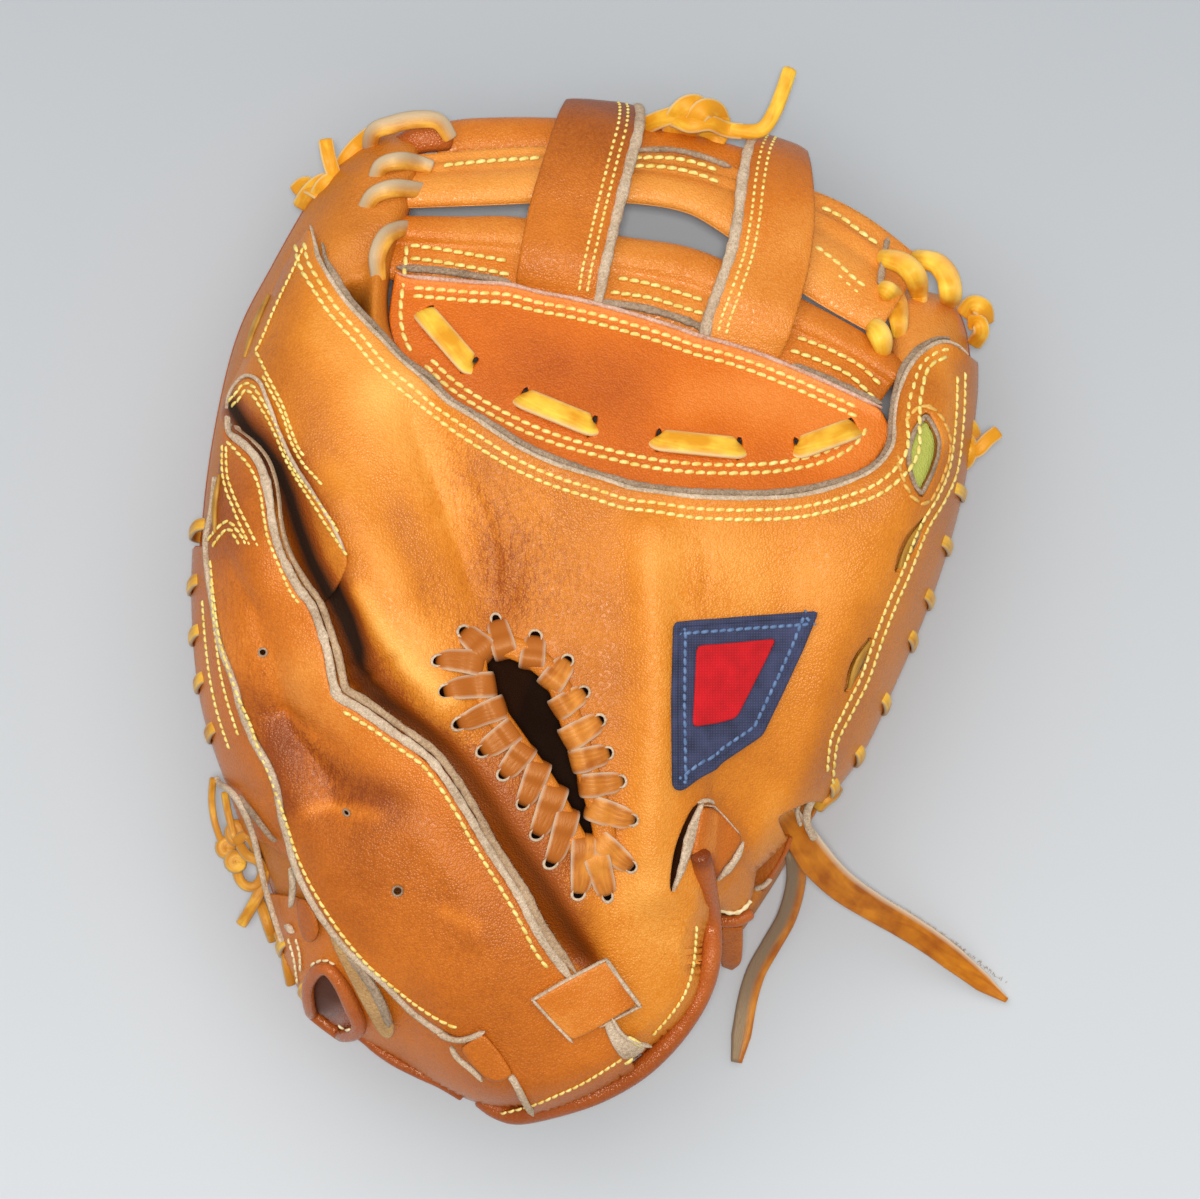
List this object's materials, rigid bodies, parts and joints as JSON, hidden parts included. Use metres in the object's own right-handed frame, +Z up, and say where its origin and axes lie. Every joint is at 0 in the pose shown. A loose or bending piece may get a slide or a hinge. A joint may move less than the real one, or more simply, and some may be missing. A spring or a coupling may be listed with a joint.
{
  "type": "softball glove",
  "caption": "Padded catcher's-style softball mitt for the left hand, in tan leather with a barred and strapped web, laces and a finger hole, lying palm down.",
  "frame": {"origin": "on the surface that the mitt lies on, under the middle of the mitt without its two hanging thongs", "axes": "+Z up out of the mitt's back, +Y towards the web and the finger tips, +X towards the thumb"},
  "size_m": [0.2491, 0.3226, 0.1136],
  "materials": {
    "tan_leather": "smooth glossy tan leather, worn paler on the ridges",
    "web_leather": "smooth red-brown leather",
    "palm_leather": "smooth tan leather with grey-beige suede at cut edges",
    "lace_leather": "yellow rawhide lace, fuzzy on one side",
    "piping_leather": "red-brown rolled leather piping",
    "patch_cloth": "navy woven cloth",
    "patch_field_cloth": "red woven cloth",
    "inlay_leather": "yellow-green coated leather"
  },
  "bodies": {
    "root": {"palm_pad": "palm_leather", "main_back": "tan_leather", "strip_panel": "tan_leather", "pinky_panel": "tan_leather", "heel_panel": "tan_leather", "finger_flap": "tan_leather", "web_lower_bar": "tan_leather", "web_upper_bar": "tan_leather", "web_top_bar": "tan_leather", "web_panel": "web_leather", "web_strap_left": "tan_leather", "web_strap_right": "tan_leather", "web_lace_1": "lace_leather", "web_lace_2": "lace_leather", "web_lace_3": "lace_leather", "web_lace_4": "lace_leather", "finger_tip_lace_1": "lace_leather", "finger_tip_lace_2": "lace_leather", "finger_tip_lace_3": "lace_leather", "finger_tip_lace_4": "lace_leather", "thumb_tip_lace_1": "lace_leather", "thumb_tip_lace_2": "lace_leather", "thumb_tip_lace_3": "lace_leather", "thumb_tip_lace_4": "lace_leather", "finger_hole_edge": "tan_leather", "patch": "patch_cloth", "patch_field": "patch_field_cloth", "thumb_eye": "inlay_leather", "keeper_large": "tan_leather", "keeper_small": "tan_leather", "suede_tab": "palm_leather", "wrist_loop": "tan_leather", "wrist_piping": "piping_leather", "rim_welt_fingers": "piping_leather", "rim_welt_thumb": "piping_leather", "wrist_thong_1": "tan_leather", "wrist_thong_2": "tan_leather", "heel_cuff": "tan_leather", "heel_binding": "piping_leather", "heel_tab": "tan_leather", "wrist_band": "tan_leather", "pinky_loop": "piping_leather", "leather_tongue": "tan_leather", "suede_tongue": "palm_leather", "tip_knot": "lace_leather", "web_knot": "lace_leather", "thumb_knot": "lace_leather", "thumb_side_knot": "lace_leather", "heel_knot": "lace_leather", "web_lace_tail": "lace_leather"}
  },
  "joints": []
}
